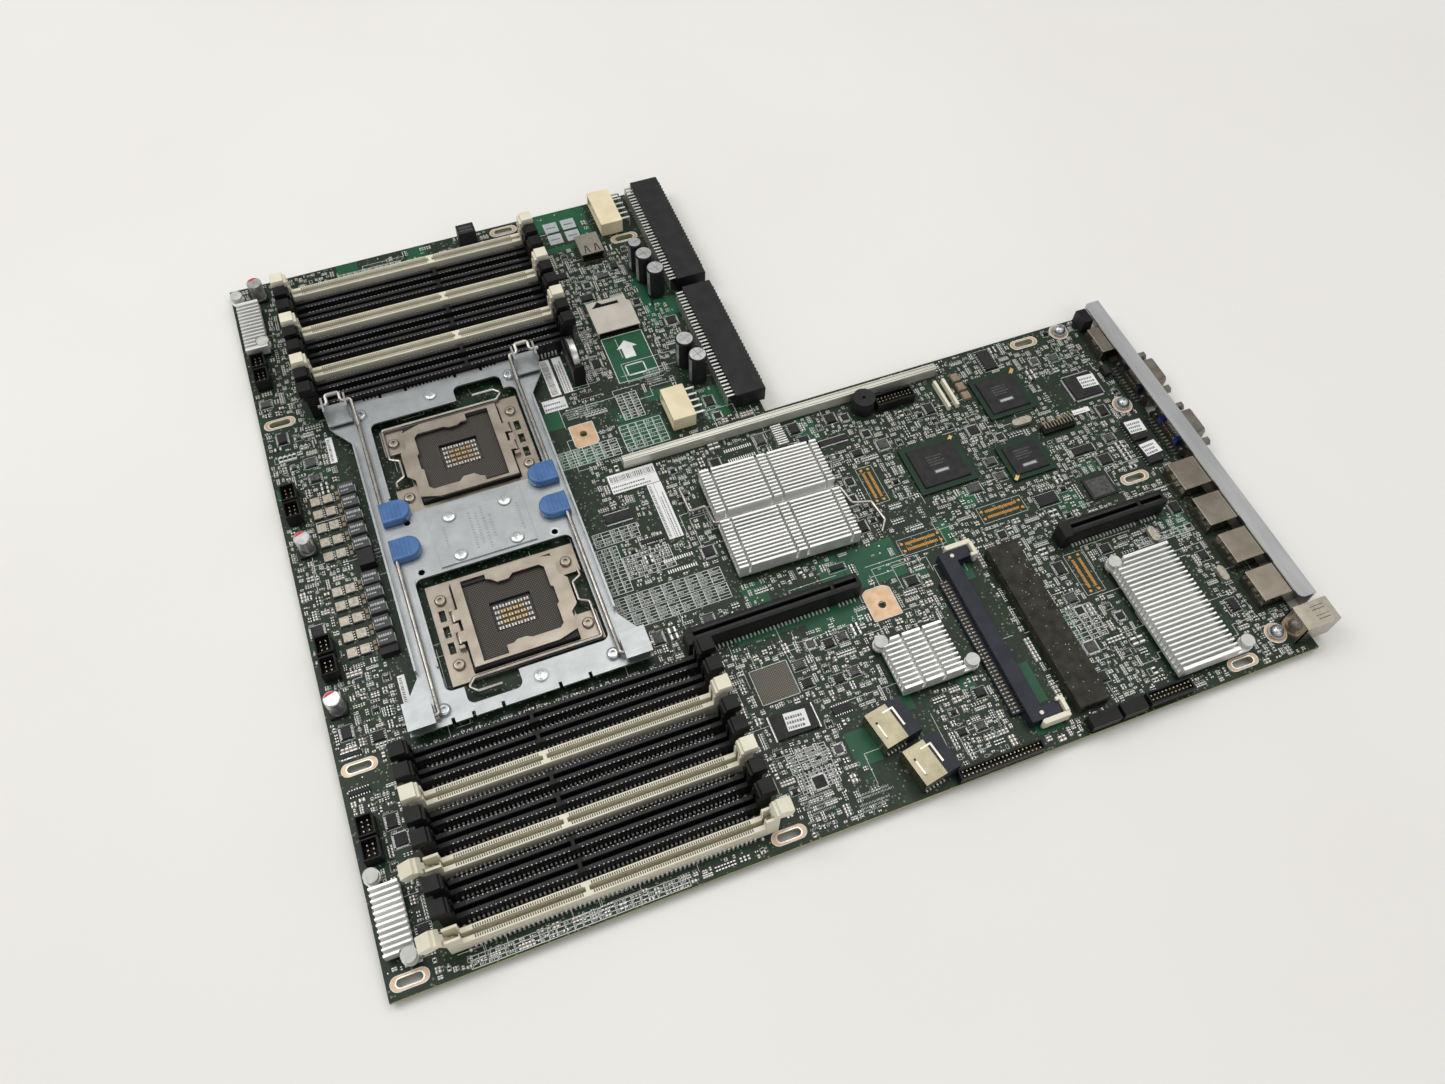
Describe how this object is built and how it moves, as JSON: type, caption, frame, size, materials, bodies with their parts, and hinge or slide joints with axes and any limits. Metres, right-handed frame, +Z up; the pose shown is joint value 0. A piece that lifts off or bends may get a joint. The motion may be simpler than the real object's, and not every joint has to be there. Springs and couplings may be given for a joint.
{
  "type": "motherboard",
  "caption": "L-shaped server motherboard with two processor sockets, two banks of memory sockets with latches, heatsinks, power connectors and a bracketed row of rear ports.",
  "frame": {"origin": "centre of the bounding box's footprint, on the surface that it stands on", "axes": "+X towards the rear ports, +Y towards the power connectors' end, +Z up, away from the component side's board"},
  "size_m": [0.4648, 0.408, 0.0283],
  "materials": {
    "board": "green solder mask over glass laminate, satin",
    "zinc": "bright zinc plate, satin",
    "nickel": "warm nickel plate, satin",
    "dark_plastic": "black moulded, matte",
    "ivory_plastic": "ivory moulded, matte",
    "natural_nylon": "natural nylon, slightly translucent",
    "white_nylon": "white nylon",
    "navy_plastic": "dark navy moulded, matte",
    "blue_plastic": "blue moulded, matte",
    "fins": "bright extruded",
    "tin": "tinned",
    "steel": "plain sheet steel",
    "shell": "nickel shell",
    "silver": "bright steel",
    "foam": "charcoal foam with pale flecks",
    "spring_wire": "bright spring wire",
    "alu_cans": "capacitor cans",
    "ferrite": "moulded ferrite",
    "chip": "moulded epoxy"
  },
  "bodies": {
    "board": {"pcb": "board", "memory_sockets_white": "ivory_plastic", "memory_sockets_black": "dark_plastic", "cpu_socket_1": "chip", "cpu_socket_2": "chip", "socket_frames": "nickel", "socket_backplates": "steel", "socket_screws": "nickel", "heatsink_clamp_frame": "zinc", "panel_screws": "nickel", "chipset_heatsink": "fins", "heatsink_clip": "spring_wire", "storage_heatsink": "fins", "network_heatsink": "fins", "supply_heatsinks": "fins", "push_pins": "white_nylon", "supply_connectors": "dark_plastic", "power_headers": "natural_nylon", "connector_pins": "tin", "bus_bar": "tin", "riser_slots": "dark_plastic", "module_socket": "navy_plastic", "storage_ports": "shell", "network_jacks": "shell", "video_and_serial_ports": "silver", "usb_ports": "silver", "rear_bracket": "steel", "card_slot": "silver", "battery_holder": "dark_plastic", "coin_cell": "silver", "capacitors": "alu_cans", "inductors": "ferrite", "chips": "chip", "pin_headers": "dark_plastic", "foam_strip": "foam", "buzzer": "dark_plastic"},
    "near_latch_3_front": {"near_latch_3_front": "ivory_plastic"},
    "near_latches_open_front": {"near_latches_open_front": "ivory_plastic"},
    "near_latches_3_6_rear": {"near_latches_3_6_rear": "ivory_plastic"},
    "near_latch_9_rear": {"near_latch_9_rear": "ivory_plastic"},
    "far_white_latches_front": {"far_white_latches_front": "ivory_plastic"},
    "far_white_latches_rear": {"far_white_latches_rear": "ivory_plastic"},
    "near_black_latches_front": {"near_black_latches_front": "dark_plastic"},
    "near_black_latches_rear": {"near_black_latches_rear": "dark_plastic"},
    "far_black_latches_front": {"far_black_latches_front": "dark_plastic"},
    "far_black_latches_rear": {"far_black_latches_rear": "dark_plastic"},
    "clamp_lever_near_front": {"clamp_lever_near_front": "spring_wire", "lever_grip_near_front": "blue_plastic"},
    "clamp_lever_near_rear": {"clamp_lever_near_rear": "spring_wire", "lever_grip_near_rear": "blue_plastic"},
    "clamp_lever_far_front": {"clamp_lever_far_front": "spring_wire", "lever_grip_far_front": "blue_plastic"},
    "clamp_lever_far_rear": {"clamp_lever_far_rear": "spring_wire", "lever_grip_far_rear": "blue_plastic"},
    "load_lever_1": {"load_lever_1": "spring_wire"},
    "load_plate_1": {"load_plate_1": "nickel"},
    "load_lever_2": {"load_lever_2": "spring_wire"},
    "load_plate_2": {"load_plate_2": "nickel"},
    "module_latch_near": {"module_latch_near": "ivory_plastic"},
    "module_latch_far": {"module_latch_far": "ivory_plastic"}
  },
  "joints": [
    {"name": "near_latch_3_front_hinge", "type": "hinge", "parent": "board", "child": "near_latch_3_front", "pos_m": [-0.2005, -0.13032, 0.0089], "axis": [0, -1, 0], "range_deg": [0, 27.5]},
    {"name": "near_latches_open_front_hinge", "type": "hinge", "parent": "board", "child": "near_latches_open_front", "pos_m": [-0.2005, -0.17604, 0.0089], "axis": [0, -1, 0], "range_deg": [-27.5, 0]},
    {"name": "near_latches_3_6_rear_hinge", "type": "hinge", "parent": "board", "child": "near_latches_3_6_rear", "pos_m": [-0.0654, -0.14556, 0.0089], "axis": [0, 1, 0], "range_deg": [0, 27.5]},
    {"name": "near_latch_9_rear_hinge", "type": "hinge", "parent": "board", "child": "near_latch_9_rear", "pos_m": [-0.0654, -0.19128, 0.0089], "axis": [0, 1, 0], "range_deg": [-13, 14.5]},
    {"name": "far_white_latches_front_hinge", "type": "hinge", "parent": "board", "child": "far_white_latches_front", "pos_m": [-0.2005, 0.15082, 0.0089], "axis": [0, -1, 0], "range_deg": [0, 27.5]},
    {"name": "far_white_latches_rear_hinge", "type": "hinge", "parent": "board", "child": "far_white_latches_rear", "pos_m": [-0.0654, 0.15082, 0.0089], "axis": [0, 1, 0], "range_deg": [0, 27.5]},
    {"name": "near_black_latches_front_hinge", "type": "hinge", "parent": "board", "child": "near_black_latches_front", "pos_m": [-0.2005, -0.15064, 0.0089], "axis": [0, -1, 0], "range_deg": [0, 27.5]},
    {"name": "near_black_latches_rear_hinge", "type": "hinge", "parent": "board", "child": "near_black_latches_rear", "pos_m": [-0.0654, -0.15064, 0.0089], "axis": [0, 1, 0], "range_deg": [0, 27.5]},
    {"name": "far_black_latches_front_hinge", "type": "hinge", "parent": "board", "child": "far_black_latches_front", "pos_m": [-0.2005, 0.14066, 0.0089], "axis": [0, -1, 0], "range_deg": [0, 27.5]},
    {"name": "far_black_latches_rear_hinge", "type": "hinge", "parent": "board", "child": "far_black_latches_rear", "pos_m": [-0.0654, 0.14066, 0.0089], "axis": [0, 1, 0], "range_deg": [0, 27.5]},
    {"name": "clamp_lever_near_front_hinge", "type": "hinge", "parent": "board", "child": "clamp_lever_near_front", "pos_m": [-0.1917, -0.0945, 0.0146], "axis": [1, 0, 0], "range_deg": [0, 100]},
    {"name": "clamp_lever_near_rear_hinge", "type": "hinge", "parent": "board", "child": "clamp_lever_near_rear", "pos_m": [-0.0906, -0.0945, 0.0146], "axis": [1, 0, 0], "range_deg": [0, 100]},
    {"name": "clamp_lever_far_front_hinge", "type": "hinge", "parent": "board", "child": "clamp_lever_far_front", "pos_m": [-0.1917, 0.0913, 0.0199], "axis": [-1, 0, 0], "range_deg": [0, 100]},
    {"name": "clamp_lever_far_rear_hinge", "type": "hinge", "parent": "board", "child": "clamp_lever_far_rear", "pos_m": [-0.0906, 0.0913, 0.0199], "axis": [-1, 0, 0], "range_deg": [0, 100]},
    {"name": "load_lever_1_hinge", "type": "hinge", "parent": "board", "child": "load_lever_1", "pos_m": [-0.103, -0.0527, 0.0088], "axis": [0, 1, 0], "range_deg": [0, 114]},
    {"name": "load_plate_1_hinge", "type": "hinge", "parent": "board", "child": "load_plate_1", "pos_m": [-0.1654, -0.0527, 0.0089], "axis": [0, -1, 0], "range_deg": [0, 95]},
    {"name": "load_lever_2_hinge", "type": "hinge", "parent": "board", "child": "load_lever_2", "pos_m": [-0.1734, 0.0465, 0.0088], "axis": [0, -1, 0], "range_deg": [0, 114]},
    {"name": "load_plate_2_hinge", "type": "hinge", "parent": "board", "child": "load_plate_2", "pos_m": [-0.111, 0.0465, 0.0089], "axis": [0, 1, 0], "range_deg": [0, 95]},
    {"name": "module_latch_near_hinge", "type": "hinge", "parent": "board", "child": "module_latch_near", "pos_m": [0.0694, -0.193, 0.0094], "axis": [0, 0, -1], "range_deg": [0, 35]},
    {"name": "module_latch_far_hinge", "type": "hinge", "parent": "board", "child": "module_latch_far", "pos_m": [0.0694, -0.0954, 0.0094], "axis": [0, 0, 1], "range_deg": [0, 35]}
  ],
  "couplings": [
    {"joint": "load_plate_1_hinge", "follows": "load_lever_1_hinge", "ratio": 0.83333},
    {"joint": "load_plate_2_hinge", "follows": "load_lever_2_hinge", "ratio": 0.83333}
  ]
}
